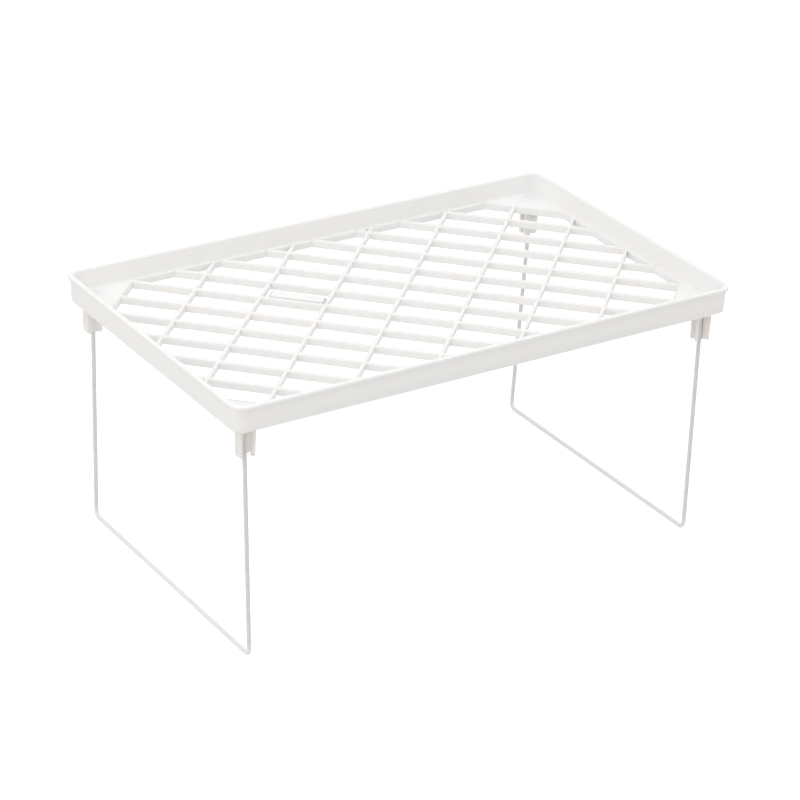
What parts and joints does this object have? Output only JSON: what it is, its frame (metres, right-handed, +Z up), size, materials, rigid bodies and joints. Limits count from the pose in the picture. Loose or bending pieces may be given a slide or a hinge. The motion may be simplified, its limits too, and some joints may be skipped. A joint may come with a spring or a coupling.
{
  "type": "folding shelf riser",
  "caption": "Free-standing kitchen shelf riser: a low-walled tray with a diagonal lattice floor on fold-flat wire legs hinged in channel-shaped holders under its corners.",
  "frame": {"origin": "on the floor, under the middle of the tray, legs open", "axes": "+X along the tray's long side towards the right leg, +Y towards the tray's back, +Z up"},
  "size_m": [0.4, 0.242, 0.1935],
  "materials": {
    "tray_plastic": "white moulded polypropylene, fine satin grain",
    "label_plastic": "white moulded polypropylene, smooth",
    "holder_plastic": "white moulded polypropylene, satin",
    "coated_wire": "white plastic-coated steel wire, soft gloss"
  },
  "bodies": {
    "tray": {"tray": "tray_plastic", "label_plate": "label_plastic", "front_left_leg_holder": "holder_plastic", "back_left_leg_holder": "holder_plastic", "front_right_leg_holder": "holder_plastic", "back_right_leg_holder": "holder_plastic"},
    "left_leg": {"left_leg": "coated_wire"},
    "right_leg": {"right_leg": "coated_wire"}
  },
  "joints": [
    {"name": "left_leg_fold", "type": "hinge", "parent": "tray", "child": "left_leg", "pos_m": [-0.185, 0, 0.1671], "axis": [0, -1, 0], "range_deg": [0, 90]},
    {"name": "right_leg_fold", "type": "hinge", "parent": "tray", "child": "right_leg", "pos_m": [0.185, 0, 0.1671], "axis": [0, 1, 0], "range_deg": [0, 90]}
  ]
}
